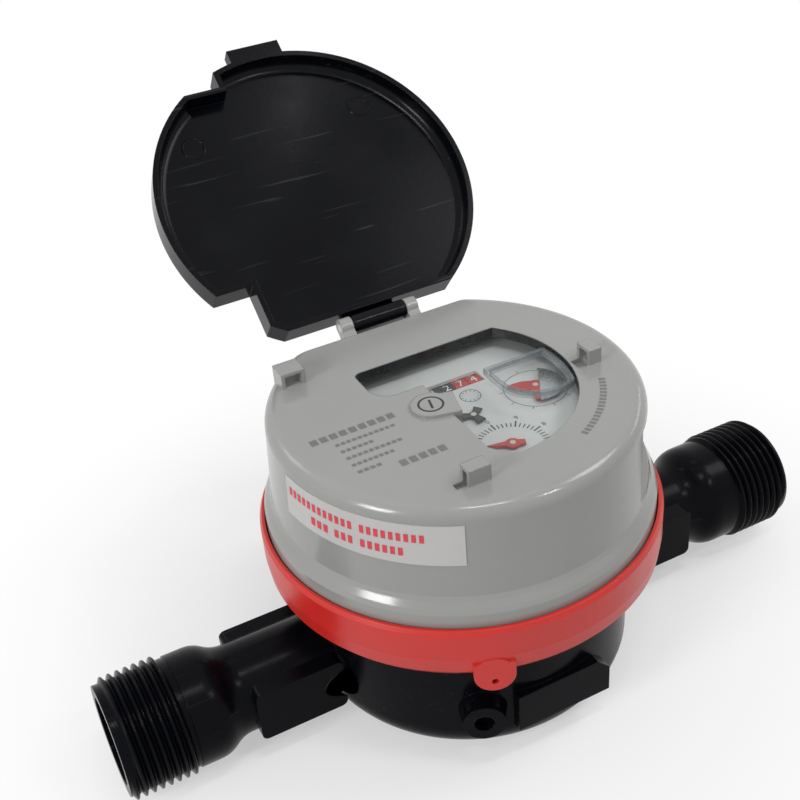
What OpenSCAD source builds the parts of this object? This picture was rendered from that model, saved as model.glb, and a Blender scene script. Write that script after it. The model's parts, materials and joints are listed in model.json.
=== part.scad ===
// Dry-dial water meter with an impeller, a geared register and a hinged lid.
// Origin on the flat underside below the impeller axis, +X along the flow, +Z up.

/* [Pipe arms] */
// Length over both pipe ends
body_length = 170; // [150:1:190]
// Height of the pipe axis above the underside
pipe_axis_z = 13.5; // [13.3:0.1:14.5]
// Root radius of the pipe thread
thread_root_r = 12.1; // [11.6:0.05:12.6]
// Length of the threaded end
thread_length = 15.5; // [12:0.5:18]
// Radius of the smooth barrel behind the thread
barrel_r = 12.4; // [11.8:0.1:13.2]
// Length of the smooth barrel
barrel_length = 4.5; // [3:0.5:6]
// Length of the round shoulder between barrel and neck
shoulder_length = 8; // [6:0.5:9]
// Radius of the neck
neck_r = 9.8; // [9.2:0.1:10.5]
// Radius of the open port
port_r = 9.6; // [9:0.1:10.2]
// Depth of the open port
port_depth = 10; // [8:0.5:12]
// Depth of the strainer seat behind the port
strainer_depth = 12; // [10:0.5:14]
// Radius of the inner water way
jet_r = 6; // [5:0.1:7]
// Distance across the wrench flats
flats_across = 22; // [20.8:0.1:24]
// Height of a wrench flat
flats_height = 13; // [10:0.5:16]
// Length of a wrench flat
flats_length = 20; // [14:0.5:22]

/* [Bowl] */
// Outer radius of the bowl
bowl_r = 36.5; // [35.5:0.1:37]
// Radius of the round lower edge
base_round = 8; // [7:0.5:9]
// Inner radius of the impeller chamber
chamber_r = 30; // [29:0.1:31]
// Floor of the impeller chamber
chamber_floor_z = 3; // [2.6:0.1:3.4]
// Seat of the chamber cover
cover_seat_z = 29; // [28.5:0.1:29.5]
// Radius of the chamber cover
cover_r = 34; // [33:0.1:34.4]
// Top of the body collar
collar_top_z = 40; // [39.5:0.1:40.5]
// Turn of the side boss from the flow axis
boss_turn = 245.5; // [240:0.5:252]
// Radius of the side boss
boss_r = 4.5; // [4:0.1:5]
// Reach of the side boss from the axis
boss_reach = 40.5; // [39.5:0.1:42]
// Height of the side boss axis
boss_z = 14.2; // [13:0.1:15.5]
// Thread radius of the plug screw
plug_r = 2.1; // [1.8:0.1:2.6]

/* [Seal ring] */
// Wall of the seal ring
ring_wall = 1.2; // [1:0.05:1.6]
// Underside of the seal ring
ring_low_z = 31; // [30.5:0.1:31.6]
// Top of the seal ring
ring_top_z = 43.3; // [42.6:0.1:44]
// Thickness of the seal ring's lower lip
ring_lip = 1.2; // [0.8:0.1:1.6]

/* [Register housing] */
// Height of the housing top
top_z = 69.5; // [69:0.1:71]
// Wall radius below the round top edge
top_r = 39.4; // [39:0.1:39.8]
// Radius of the round top edge
top_round = 3; // [2:0.1:3.5]
// Draft of the wall from its top to its foot
wall_draft = 0.9; // [0.5:0.05:1.2]
// Height of the wall foot
wall_foot_z = 49.5; // [48.5:0.1:50.5]
// Step of the flange past the wall foot
flange_step = 1.9; // [1.7:0.1:2.6]
// Underside of the flange
flange_low_z = 42; // [41.6:0.1:42.4]
// Thickness of the housing wall at its foot
case_wall = 3.1; // [2.8:0.05:3.4]
// Thickness of the housing top
top_thick = 2.5; // [2:0.1:3]
// Distance of the back flat from the axis
back_flat_y = 31.2; // [30.8:0.1:32]
// Wall thickness at the back flat
back_wall = 1.8; // [1.5:0.1:2.2]
// Radius of the round part of the window
window_r = 25.7; // [25:0.1:26.5]
// Back edge of the window
window_back_y = 16.8; // [16:0.1:17.5]
// Left end of the window slot
window_left_x = -15; // [-16:0.1:-14]
// Front edge of the window slot's round end
slot_front_y = 5; // [4:0.1:6]
// Left edge of the round part of the window
window_mid_x = -4.4; // [-5:0.1:-4]
// Height of a square loop on the top
loop_height = 3.6; // [3:0.1:3.8]
// Wall round the opening of a loop
loop_wall = 0.8; // [0.6:0.05:0.9]
// Length of the pocket beside a loop
pocket_length = 2.2; // [1.5:0.1:2.4]
// Depth of the pocket beside a loop
pocket_depth = 0.9; // [0.5:0.1:1.2]
// Turn of the flat recess in the wall
side_turn = -36; // [-40:1:-30]
// Depth of the flat recess in the wall
side_depth = 1.9; // [1:0.1:2]

/* [Lid] */
// Radius of the lid
lid_r = 37.8; // [37:0.1:38.4]
// Thickness of the lid plate
lid_plate = 1.8; // [1.4:0.1:2.4]
// Depth of the lid rim below the plate
lid_rim = 4.2; // [4:0.1:5]
// Wall of the lid rim
lid_wall = 1.3; // [1.1:0.05:1.4]
// Right edge of the notch in the rim
notch_x = -11.9; // [-13:0.1:-10]
// Depth of the notch in the rim
notch_depth = 6.2; // [4:0.1:6.3]
// Distance of the hinge axis from the meter axis
hinge_y = 34.6; // [34.2:0.1:35.2]
// Height of the hinge axis above the housing top
hinge_rise = 0.7; // [0.6:0.1:1.2]
// Radius of the hinge pin
hinge_pin_r = 1; // [0.8:0.05:1.1]
// Reach of the lid's finger tab past the rim
tab_reach = 2.8; // [2:0.1:4]
// Width of the finger tab
tab_w = 13.2; // [10:0.1:16]
// Height of the finger tab
tab_h = 3.4; // [2:0.1:4.5]
// Opening angle of the lid as shown
lid_open = 141.5; // [100:0.5:150]
// Width of the lid's hinge tongue
tongue_w = 13; // [10:0.5:15]
// Thickness of a hinge ear
ear_w = 2.8; // [2:0.1:3.4]

/* [Impeller] */
// Radius over the vanes
impeller_r = 27.5; // [26:0.1:28.5]
// Number of vanes
vanes = 8; // [6:1:10]
// Thickness of a vane
vane_thick = 1.6; // [1.2:0.1:2]
// Underside of the vanes
vane_low_z = 6.2; // [5.8:0.1:7]
// Top of the vanes
vane_top_z = 21; // [20:0.1:21.5]
// Hub radius
hub_r = 6; // [5:0.1:7]
// Magnet radius
magnet_r = 8; // [7:0.1:9]
// Magnet thickness
magnet_thick = 4; // [3.5:0.1:4.5]
// Radius of the steel pivot pin
pivot_r = 1; // [0.8:0.05:1.2]

/* [Register] */
// Top face of the dial plate
dial_top_z = 63.5; // [63.3:0.05:63.8]
// Thickness of the dial plate
dial_thick = 0.8; // [0.6:0.05:1]
// Thickness of the movement plates
plate_thick = 1.2; // [1:0.1:1.4]
// Room between the movement plates and the cup
plate_room = 1.3; // [1:0.1:1.6]
// Underside of the movement plate
plate_low_z = 44.5; // [44:0.1:45]
// Gear module
gear_module = 0.4; // [0.38:0.01:0.42]
// Width of a gear
gear_w = 1.2; // [0.8:0.1:1.4]
// Arbor radius
arbor_r = 0.6; // [0.5:0.02:0.7]
// Radius of a number drum
drum_r = 4.2; // [3.8:0.05:4.4]
// Spacing of the number drums
drum_pitch = 3.3; // [3:0.05:3.4]
// Right end of the row of drums
drums_right_x = 11.9; // [11.5:0.1:12.2]
// Distance of the drum shaft from the axis
drum_y = 9.6; // [9.2:0.1:10]
// Drum shaft radius
drum_shaft_r = 0.8; // [0.7:0.02:0.9]
// Number of black drums
black_drums = 5; // [4:1:5]
// Number of red drums
red_drums = 2; // [1:1:2]
// Radius of the inductive target
target_r = 6; // [5:0.1:6.5]
// Length of the litre pointer
litre_pointer_len = 5.6; // [5:0.1:6]
// Radius of the leak star
star_r = 2.7; // [2.2:0.1:2.9]

/* [Fits] */
// Radial clearance of a running fit
run_gap = 0.05; // [0.02:0.01:0.09]
// Width of the gap round seated pieces
seat_gap = 0.3; // [0.2:0.05:0.4]

/* [Sticker] */
// First turn of the sticker round the wall
sticker_from = 184; // [180:1:190]
// Last turn of the sticker round the wall
sticker_to = 243; // [230:1:246]
// Lower edge of the sticker
sticker_low_z = 57; // [55:0.1:58]
// Upper edge of the sticker
sticker_top_z = 66; // [65:0.1:66.2]
// Thickness of the sticker
sticker_thick = 0.15; // [0.1:0.05:0.2]

/* [Hidden] */
$fn = 96;
eps = 0.01;
far = 200;

half_length = body_length / 2;
base_r = bowl_r - base_round;
barrel_end = half_length - thread_length - barrel_length;
neck_end = barrel_end - shoulder_length;
strainer_wall = 0.9;
strainer_seat_r = port_r - 0.6;
strainer_x = half_length - port_depth - strainer_depth;
wall_r = top_r + wall_draft;
flange_r = wall_r + flange_step;
collar_r = flange_r;
ring_r = flange_r + seat_gap + ring_wall;
housing_in_r = wall_r - case_wall;
cover_thick = 3.2;
groove_depth = 1;
groove_lip = 0.7;
bush_r = 2.2;
bush_shift = 1;
pin_depth = 1.8;
pin_reach = 3;
cover_top_z = cover_seat_z + cover_thick;
cup_floor_z = cover_top_z;
cup_floor = 1.6;
magnet_lift = 0.6;
magnet_hub_r = magnet_r * 3 / 8;
cup_r = housing_in_r - seat_gap - 0.6;
cup_wall = 1.5;
cup_in_r = cup_r - cup_wall;
plate_r = cup_in_r - plate_room;
cup_ledge_r = plate_r - 1.5;
lens_thick = 2;
lens_top_z = top_z - top_thick;
lens_low_z = lens_top_z - lens_thick;
gasket_thick = 0.8;
cup_top_z = lens_low_z - gasket_thick;
back_in_y = back_flat_y - back_wall;
cup_back_y = back_in_y - seat_gap;
carrier_top_z = dial_top_z - dial_thick;
carrier_low_z = carrier_top_z - plate_thick;
hinge_z = top_z + hinge_rise;
lid_clear = 0.4;
ear_r = 2;
lid_low = lid_clear - hinge_rise;
lid_top = lid_low + lid_rim + lid_plate;
rail_gap = 0.25;
slot_round = 1.6;
dial_round = 8;
rim_r = 9.2;
rim_back = 6;

// Gear train: teeth counts, and arbor places worked out from them.
spindle_teeth = 12;
first_teeth = 48;
first_pinion = 12;
litre_teeth = 48;
litre_pinion = 42;
target_teeth = 64;
worm_pinion = 18;
star_teeth = 11;
worm_wheel_teeth = 20;
level_1 = plate_low_z + plate_thick + 1.2;
level_2 = level_1 + gear_w + 1.2;
level_3 = level_2 + gear_w + 1.2;
level_4 = level_3 + gear_w + 1;

litre_at = [4, -16.4];
star_turn = -56;
target_turn = 45;
first_at = circle_cross([0, 0], reach(spindle_teeth, first_teeth),
                        litre_at, reach(first_pinion, litre_teeth));
star_at = reach(star_teeth, star_teeth) * [cos(star_turn), sin(star_turn)];
target_at = litre_at + reach(litre_pinion, target_teeth) * [cos(target_turn), sin(target_turn)];
worm_x = drums_right_x + 0.7 + gear_w / 2;
worm_dx = worm_x - target_at[0];
worm_at = [worm_x, target_at[1] + sqrt(pow(reach(target_teeth, worm_pinion), 2) - worm_dx * worm_dx)];

drum_z = carrier_top_z + 0.4 - drum_r;
drums = black_drums + red_drums;
drum_gap = 0.15;
drum_room = 0.5;
worm_gap = worm_at[1] - drum_y;
worm_r = 1.2;
wheel_pitch_r = worm_gap - worm_r;
wheel_tip_r = wheel_pitch_r + 0.2;
wheel_root_r = wheel_pitch_r - 0.55;
worm_lead = 2 * PI * wheel_pitch_r / worm_wheel_teeth;
drums_left_x = drums_right_x - drums * drum_pitch;
target_phase = gap_to(target_at, litre_at, target_teeth);
worm_phase = mesh_phase(target_at, target_teeth, target_phase, worm_at, worm_pinion);
arbors = [first_at, litre_at, target_at, star_at, worm_at];
pillar_ring_r = plate_r - 4.5;
pillar_places = [for (a = [40, 200, 250, 320]) turn(pillar_ring_r, a)];
// Square loops on the housing top: centre, size, and whether the opening runs along Y.
left_loop = [[-27.2, 22], [5.4, 4.8], true];
loop_list = [left_loop, [[-11.3, -28.3], [4.8, 3.2], false], [[29.4, -6.1], [3, 4.5], false]];
loop_sill = 0.2;

function reach(a, b) = gear_module * (a + b) / 2;
// Left-hand crossing of two circles, seen from the first centre.
function circle_cross(p, rp, q, rq) =
    let (d = norm(q - p), u = (q - p) / d, a = (rp * rp - rq * rq + d * d) / (2 * d),
         h = sqrt(rp * rp - a * a))
    p + a * u + h * [u[1], -u[0]];
function turn(r, a) = [r * cos(a), r * sin(a)];

// Shared shapes

module along_x(x) {
    translate([x, 0, pipe_axis_z]) rotate([0, 90, 0]) children();
}

module behind_flat(y) {
    intersection() {
        children();
        translate([-far / 2, y - far, -far / 2]) cube([far, far, far]);
    }
}

module tube(r_out, r_in, z0, z1) {
    translate([0, 0, z0]) difference() {
        cylinder(r = r_out, h = z1 - z0);
        translate([0, 0, -eps]) cylinder(r = r_in, h = z1 - z0 + 2 * eps);
    }
}

// Spur gear with straight flanks, one tooth centred on the given turn.
module gear(teeth, phase = 0) {
    pitch_r = gear_module * teeth / 2;
    half = 90 / teeth * 0.82;
    flank = gear_module * tan(20) / pitch_r * 180 / PI;
    tip_r = pitch_r + 0.85 * gear_module;
    root_r = pitch_r - 1.2 * gear_module;
    linear_extrude(gear_w)
        polygon([for (i = [0:teeth - 1], k = [0:3])
            let (a = phase + 360 * i / teeth, s = k < 2 ? -1 : 1, tip = k == 1 || k == 2)
            turn(tip ? tip_r : root_r, a + s * (tip ? half - 0.85 * flank : half + 1.1 * flank))]);
}

// Body

module body() {
    color("#1c1d1f") difference() {
        union() {
            bowl();
            for (side = [0, 1]) mirror([side, 0, 0]) arm();
            boss();
            marking_plate();
        }
        translate([0, 0, chamber_floor_z]) cylinder(r = chamber_r, h = far);
        translate([0, 0, cover_seat_z]) cylinder(r = cover_r + seat_gap, h = far);
        translate([0, 0, cover_top_z]) cylinder(r = cup_r + seat_gap, h = far);
        for (side = [0, 1]) mirror([side, 0, 0]) water_way();
        boss_hole();
        translate([0, 0, chamber_floor_z - pin_depth]) cylinder(r = pivot_r, h = far);
    }
}

module bowl() {
    rotate_extrude() {
        square([base_r, base_round]);
        intersection() {
            translate([base_r, base_round]) circle(r = base_round);
            square([bowl_r, base_round]);
        }
        translate([0, base_round]) square([bowl_r, cover_seat_z - base_round - 3]);
        polygon([[0, cover_seat_z - 4], [bowl_r, cover_seat_z - 4], [collar_r - 1.2, ring_low_z],
                 [collar_r - 1.2, collar_top_z], [0, collar_top_z]]);
        translate([0, ring_low_z + ring_lip]) square([collar_r, collar_top_z - ring_low_z - ring_lip]);
    }
}

module arm() {
    along_x(0) cylinder(r = neck_r, h = barrel_end);
    along_x(neck_end) rotate_extrude() shoulder();
    along_x(barrel_end) cylinder(r = barrel_r, h = barrel_length);
    along_x(half_length - thread_length) cylinder(r = thread_root_r, h = thread_length);
    flats();
}

// Half profile of the shoulder: a hollow arc that runs over into a round one.
module shoulder() {
    step = barrel_r - neck_r;
    half = shoulder_length / 2;
    arc_r = (shoulder_length * shoulder_length + step * step) / (4 * step);
    difference() {
        square([neck_r + step / 2, half]);
        translate([neck_r + arc_r, 0]) circle(r = arc_r);
    }
    translate([0, half]) square([barrel_r - arc_r, half]);
    intersection() {
        translate([barrel_r - arc_r, shoulder_length]) circle(r = arc_r);
        translate([barrel_r - arc_r - eps, half]) square([arc_r + eps, half]);
    }
}

module flats() {
    x0 = neck_end - flats_length - 1;
    r = 1.5;
    for (s = [-1, 1])
        translate([x0, s > 0 ? 0 : -flats_across / 2, pipe_axis_z - flats_height / 2])
            translate([0, flats_across / 2, 0]) rotate([90, 0, 0]) linear_extrude(flats_across / 2) {
                translate([r, 0]) square([flats_length - 2 * r, flats_height]);
                translate([0, r]) square([flats_length, flats_height - 2 * r]);
                for (x = [r, flats_length - r], z = [r, flats_height - r]) translate([x, z]) circle(r = r);
            }
}

module at_boss() {
    rotate([0, 0, boss_turn]) translate([0, 0, boss_z]) rotate([0, 90, 0]) children();
}

module boss() {
    root = chamber_r + 2;
    flare = 1.4;
    at_boss() translate([0, 0, root]) {
        cylinder(r = boss_r, h = boss_reach - root);
        cylinder(r1 = boss_r + flare, r2 = boss_r, h = bowl_r - chamber_r + 1);
    }
}

module boss_hole() {
    at_boss() translate([0, 0, chamber_r + 2.5]) cylinder(r = plug_r, h = far);
}

module marking_plate() {
    w = 22.5;
    h = 9.5;
    cut = 3;
    left = -9;
    drop = 5.2;
    rise = 1.2;
    root = 8;
    translate([left, root - bowl_r - rise, pipe_axis_z - drop]) rotate([90, 0, 0])
        linear_extrude(root) polygon([[0, 0], [w, 0], [w, h - cut], [w - cut, h], [0, h]]);
}

module water_way() {
    throat = 8;
    throat_x = strainer_x - throat;
    jet_turn = 18;
    jet_length = throat_x - chamber_r / 2;
    along_x(half_length - port_depth) cylinder(r = port_r, h = port_depth + eps);
    along_x(strainer_x) cylinder(r = strainer_seat_r, h = strainer_depth + eps);
    along_x(throat_x) cylinder(r1 = jet_r, r2 = strainer_seat_r - strainer_wall, h = throat + eps);
    translate([throat_x, 0, pipe_axis_z]) sphere(r = jet_r);
    translate([throat_x, 0, pipe_axis_z]) rotate([0, 0, jet_turn])
        rotate([0, -90, 0]) cylinder(r = jet_r, h = jet_length);
}

module plug_screw() {
    color("#2a2a2c") at_boss() difference() {
        translate([0, 0, chamber_r + 2.5]) cylinder(r = plug_r, h = boss_reach - chamber_r - 4.5);
        translate([-0.4, -plug_r, boss_reach - 3.2]) cube([0.8, 2 * plug_r, far]);
    }
}

module inlet_strainer() {
    r = strainer_seat_r - run_gap;
    in_r = r - strainer_wall;
    hole_r = 1;
    hole_pitch = (in_r - hole_r) / 2 - 0.3;
    color("#d8d8d2") mirror([1, 0, 0]) along_x(strainer_x) difference() {
        cylinder(r = r, h = strainer_depth);
        translate([0, 0, strainer_wall]) cylinder(r = in_r, h = strainer_depth);
        for (ring = [1:2], i = [0:6 * ring - 1])
            rotate([0, 0, i * 60 / ring]) translate([ring * hole_pitch, 0, -1])
                cylinder(r = hole_r, h = 4, $fn = 24);
        translate([0, 0, -1]) cylinder(r = hole_r, h = 4, $fn = 24);
    }
}

// Wet chamber

module pivot_pin() {
    foot_z = chamber_floor_z - pin_depth;
    color("#b9bcc0") translate([0, 0, foot_z]) cylinder(r = pivot_r, h = vane_low_z + pin_reach - foot_z);
}

module impeller() {
    bore_r = pivot_r + run_gap;
    color("#e6e2d6") difference() {
        union() {
            translate([0, 0, vane_low_z - 2]) cylinder(r = hub_r - 2, h = 2 + eps);
            translate([0, 0, vane_low_z]) cylinder(r = hub_r, h = vane_top_z - vane_low_z);
            translate([0, 0, vane_top_z - eps]) cylinder(r = magnet_r - 2, h = magnet_thick + eps);
            translate([0, 0, vane_top_z + magnet_thick - eps]) cylinder(r = pivot_r, h = 4.5);
            for (i = [0:vanes - 1]) rotate([0, 0, 360 * i / vanes + 22.5])
                translate([hub_r - 1, -vane_thick / 2, vane_low_z])
                    cube([impeller_r - hub_r + 1, vane_thick, vane_top_z - vane_low_z]);
        }
        translate([0, 0, -eps]) cylinder(r = bore_r, h = vane_low_z + pin_reach + 0.1);
    }
}

module impeller_magnet() {
    color("#4a4d52") tube(magnet_r, magnet_r - 2, vane_top_z, vane_top_z + magnet_thick);
}

module chamber_cover() {
    well_r = magnet_r + 1.5;
    color("#2e3034") difference() {
        union() {
            translate([0, 0, cover_seat_z]) cylinder(r = cover_r, h = cover_thick);
            for (i = [0:5]) rotate([0, 0, 60 * i + 10])
                translate([well_r, -0.6, cover_seat_z - 1.5]) cube([chamber_r - well_r - 2, 1.2, 2]);
        }
        translate([0, 0, cover_seat_z - 2]) cylinder(r = bush_r, h = 2 + cover_thick - bush_shift);
        translate([0, 0, cover_seat_z]) cover_groove();
    }
}

module cover_groove() {
    tube(far, cover_r - groove_depth, groove_lip, cover_thick - groove_lip);
}

module bearing_bush() {
    color("#c9a227") tube(bush_r, pivot_r + run_gap, cover_seat_z - bush_shift, cover_top_z - bush_shift);
}

module chamber_o_ring() {
    color("#141414") translate([0, 0, cover_seat_z])
        tube(cover_r + seat_gap, cover_r - groove_depth, groove_lip, cover_thick - groove_lip);
}

// Seal ring

module seal_ring() {
    in_r = flange_r + seat_gap;
    lip_r = collar_r - 1;
    slope = 0.4;
    chamfer = 1.2;
    edge = 0.5;
    color("#d9463c") {
        rotate_extrude()
            polygon([[lip_r, ring_low_z], [ring_r - slope - chamfer, ring_low_z],
                     [ring_r - slope, ring_low_z + slope + chamfer], [ring_r, ring_low_z + 5],
                     [ring_r, ring_top_z - 2 * edge], [ring_r - edge, ring_top_z],
                     [in_r, ring_top_z], [in_r, ring_low_z + ring_lip], [lip_r, ring_low_z + ring_lip]]);
        ring_lug();
    }
}

module ring_lug() {
    w = 4.2;
    rotate([0, 0, boss_turn + 3]) translate([flange_r + seat_gap, 0, ring_low_z + 0.6]) rotate([0, 90, 0])
        difference() {
            linear_extrude(ring_wall + 0.2) {
                circle(r = w);
                translate([-3, -w]) square([3, 2 * w]);
            }
            translate([1.8, 0, -1]) cylinder(r = 0.7, h = 4, $fn = 24);
        }
}

// Register case

module register_cup() {
    color("#c9cbc8") difference() {
        union() {
            behind_flat(cup_back_y) translate([0, 0, cup_floor_z])
                cylinder(r = cup_r, h = cup_top_z - cup_floor_z);
            translate([0, 0, cup_floor_z]) cylinder(r = cup_r, h = plate_low_z - cup_floor_z);
            translate([0, 0, collar_top_z]) cylinder(r = flange_r - 0.6, h = flange_low_z - collar_top_z);
        }
        translate([0, 0, cup_floor_z + cup_floor]) cylinder(r = cup_ledge_r, h = far);
        behind_flat(cup_back_y - cup_wall) translate([0, 0, plate_low_z]) cylinder(r = cup_in_r, h = far);
        translate([0, 0, cup_floor_z + cup_floor - 0.8]) cylinder(r = arbor_r + run_gap, h = 2);
    }
}

module housing_outline() {
    foot = flange_low_z + 4.2;
    edge_r = top_r - top_round;
    edge_z = top_z - top_round;
    polygon([[0, flange_low_z], [flange_r, flange_low_z], [flange_r, foot], [flange_r - 0.5, foot + 1],
             [wall_r + 0.5, wall_foot_z - 1], [wall_r, wall_foot_z], [top_r, edge_z],
             [edge_r, top_z], [0, top_z]]);
    translate([edge_r, edge_z]) circle(r = top_round);
}

module register_housing() {
    color("#a7a7a2") difference() {
        union() {
            difference() {
                rotate_extrude() housing_outline();
                translate([-far / 2, back_flat_y, wall_foot_z]) cube([far, far, far]);
                side_flat();
            }
            hinge_ears();
            loops();
            pointer_pad();
        }
        behind_flat(back_in_y) translate([0, 0, flange_low_z - 1])
            cylinder(r = housing_in_r, h = lens_top_z - flange_low_z + 1);
        translate([0, 0, flange_low_z - 1]) cylinder(r = housing_in_r, h = wall_foot_z - 2 - flange_low_z);
        translate([0, 0, lens_top_z - 1]) linear_extrude(top_thick + 2) window();
        loop_holes();
        translate([-far / 2, hinge_y, hinge_z]) rotate([0, 90, 0]) cylinder(r = hinge_pin_r, h = far);
    }
}

module side_flat() {
    foot = 1.5;
    width = 26;
    rotate([0, 0, side_turn]) translate([wall_r - side_depth, -width / 2, wall_foot_z + foot])
        cube([far, width, top_z - wall_foot_z - foot - top_round]);
}

// Round dial opening with a slot to the left for the number drums.
module window() {
    slot_h = window_back_y - slot_front_y;
    end_r = slot_h * 0.4;
    slot_w = window_mid_x - window_left_x + 5;
    difference() {
        union() {
            intersection() {
                circle(r = window_r);
                translate([window_mid_x, -far]) square([far, far + window_back_y]);
            }
            translate([window_left_x + end_r, slot_front_y]) square([slot_w, slot_h]);
            translate([window_left_x, slot_front_y + end_r]) square([slot_w, slot_h - end_r - slot_round]);
            translate([window_left_x + end_r, slot_front_y + end_r]) circle(r = end_r);
            translate([window_left_x + slot_round, window_back_y - slot_round - eps])
                square([slot_w - slot_round, slot_round + eps]);
            translate([window_left_x + slot_round, window_back_y - slot_round]) circle(r = slot_round);
        }
        difference() {
            translate([window_mid_x - 1, -window_r - 1]) square([dial_round + 1, dial_round + 1]);
            translate([window_mid_x + dial_round, dial_round - window_r]) circle(r = dial_round + 0.6);
        }
        pad_outline();
    }
}

module pad_outline() {
    r = 4.2;
    at = [-6, -4.6];
    rotate(-14) {
        translate(at) circle(r = r);
        translate([at[0], at[1] - r]) square([r + 1.2, 2 * r - 1]);
    }
}

module pointer_pad() {
    translate([0, 0, top_z - top_thick]) linear_extrude(top_thick + 0.7) pad_outline();
}

module hinge_ears() {
    ear_drop = 8;
    for (s = [-1, 1]) translate([s * (tongue_w + ear_w) / 2 + s * rail_gap - ear_w / 2, 0, 0])
        translate([ear_w, 0, 0]) rotate([0, -90, 0]) linear_extrude(ear_w) {
            translate([hinge_z, hinge_y]) circle(r = ear_r);
            polygon([[hinge_z, hinge_y + ear_r], [top_z - ear_drop, back_flat_y - back_wall / 2],
                     [top_z - ear_r / 2, back_flat_y - back_wall / 2], [hinge_z, hinge_y - ear_r]]);
        }
}

module loops() {
    for (l = loop_list) translate([l[0][0] - l[1][0] / 2, l[0][1] - l[1][1] / 2, lens_top_z])
        cube([l[1][0], l[1][1], loop_height + top_thick]);
}

// Opening through each loop, with a pocket in the top before the openings along X.
module loop_holes() {
    for (l = loop_list) translate([l[0][0], l[0][1], top_z]) rotate([0, 0, l[2] ? 90 : 0]) {
        deep = l[2] ? l[1][1] : l[1][0];
        wide = (l[2] ? l[1][0] : l[1][1]) - 2 * loop_wall;
        translate([-deep / 2 - 1, -wide / 2, loop_sill])
            cube([deep + 2, wide, loop_height - loop_sill - loop_wall]);
        if (!l[2]) translate([-deep / 2 - pocket_length, -wide / 2, -pocket_depth])
            cube([pocket_length + loop_wall, wide, pocket_depth + loop_sill + eps]);
    }
}

module sticker() {
    span = sticker_to - sticker_from;
    mid = (sticker_from + sticker_to) / 2;
    taper = (wall_r - top_r) / (top_z - top_round - wall_foot_z);
    r0 = wall_r - (sticker_low_z - wall_foot_z) * taper;
    r1 = wall_r - (sticker_top_z - wall_foot_z) * taper;
    h = sticker_top_z - sticker_low_z;
    color("#efefec") intersection() {
        translate([0, 0, sticker_low_z]) difference() {
            cylinder(r1 = r0 + sticker_thick, r2 = r1 + sticker_thick, h = h);
            cylinder(r1 = r0, r2 = r1, h = h);
        }
        rotate([0, 0, mid]) translate([0, 0, sticker_low_z - 1]) linear_extrude(h + 2)
            polygon(concat([[0, 0]], [for (k = [-2:2]) turn(far, k * span / 4)]));
    }
}

module lens_gasket() {
    color("#1a1a1a") translate([0, 0, cup_top_z]) difference() {
        behind_flat(cup_back_y) cylinder(r = cup_r, h = gasket_thick);
        behind_flat(cup_back_y - cup_wall) translate([0, 0, -1]) cylinder(r = cup_in_r, h = gasket_thick + 2);
    }
}

module rim_outline(grow = 0) {
    at = target_at;
    intersection() {
        circle(r = window_r - 0.4 + grow);
        translate([at[0] - rim_r - grow, at[1] - far]) square([far, far + rim_back + grow]);
        union() {
            translate(at) circle(r = rim_r + grow);
            translate([at[0] - rim_r - grow, at[1]]) square([far, far]);
        }
    }
}

module lens() {
    color("#dfe8ec", 0.35) {
        behind_flat(cup_back_y) translate([0, 0, lens_low_z]) cylinder(r = cup_r, h = lens_thick);
        translate([0, 0, lens_top_z]) linear_extrude(1.6) difference() {
            rim_outline();
            rim_outline(-0.9);
        }
    }
}

// Movement

module plate_disc(z, thick) {
    behind_flat(cup_back_y - cup_wall - seat_gap) translate([0, 0, z]) cylinder(r = plate_r, h = thick);
}

module arbor_holes(z) {
    for (p = concat([[0, 0]], arbors)) translate([p[0], p[1], z])
        cylinder(r = arbor_r + run_gap, h = 10, $fn = 32);
}

module drum_slot(z, h) {
    rise = carrier_low_z - drum_z;
    drum_half = sqrt(drum_r * drum_r - rise * rise) + drum_room;
    wheel_half = sqrt(wheel_tip_r * wheel_tip_r - rise * rise) + drum_room;
    drums_end_x = drums_right_x + drum_gap;
    translate([drums_left_x - drum_room, drum_y - drum_half, z])
        cube([drums_end_x - drums_left_x + drum_room, 2 * drum_half, h]);
    translate([drums_end_x - eps, drum_y - wheel_half, z])
        cube([worm_x + gear_w / 2 + drum_room - drums_end_x, 2 * wheel_half, h]);
}

module movement_plate() {
    color("#d9c07a") difference() {
        plate_disc(plate_low_z, plate_thick);
        arbor_holes(plate_low_z - 1);
    }
}

module pillars() {
    color("#c8a850") for (p = pillar_places)
        translate([p[0], p[1], plate_low_z + plate_thick])
            cylinder(r = 1.4, h = carrier_low_z - plate_low_z - plate_thick, $fn = 32);
}

module dial_carrier() {
    lug = 1.2;
    color("#e9e9e4") {
        difference() {
            plate_disc(carrier_low_z, plate_thick);
            arbor_holes(carrier_low_z - 1);
            drum_slot(carrier_low_z - 1, 4);
        }
        for (x = [drums_left_x - 0.5 - lug, worm_x + 1.9]) difference() {
            translate([x, drum_y - 2, drum_z - 2]) cube([lug, 4, carrier_low_z + eps - drum_z + 2]);
            translate([x - 1, drum_y, drum_z]) rotate([0, 90, 0]) cylinder(r = drum_shaft_r, h = 4, $fn = 32);
        }
    }
}

module dial_plate() {
    color("#f1f0ec") difference() {
        plate_disc(carrier_top_z, dial_thick);
        for (p = [litre_at, target_at, star_at])
            translate([p[0], p[1], carrier_top_z - 1]) cylinder(r = arbor_r + 0.3, h = 4, $fn = 32);
        translate([drums_left_x, drum_y - 2.1, carrier_top_z - 1]) cube([drums * drum_pitch, 4.2, 4]);
    }
}

module drum_shaft() {
    x0 = drums_left_x - 1.7;
    x1 = worm_x + 3.1;
    color("#b9bcc0") translate([x0, drum_y, drum_z]) rotate([0, 90, 0])
        cylinder(r = drum_shaft_r, h = x1 - x0, $fn = 48);
}

module arbor(at, z0, z1) {
    translate([at[0], at[1], z0]) cylinder(r = arbor_r, h = z1 - z0, $fn = 32);
}

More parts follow.
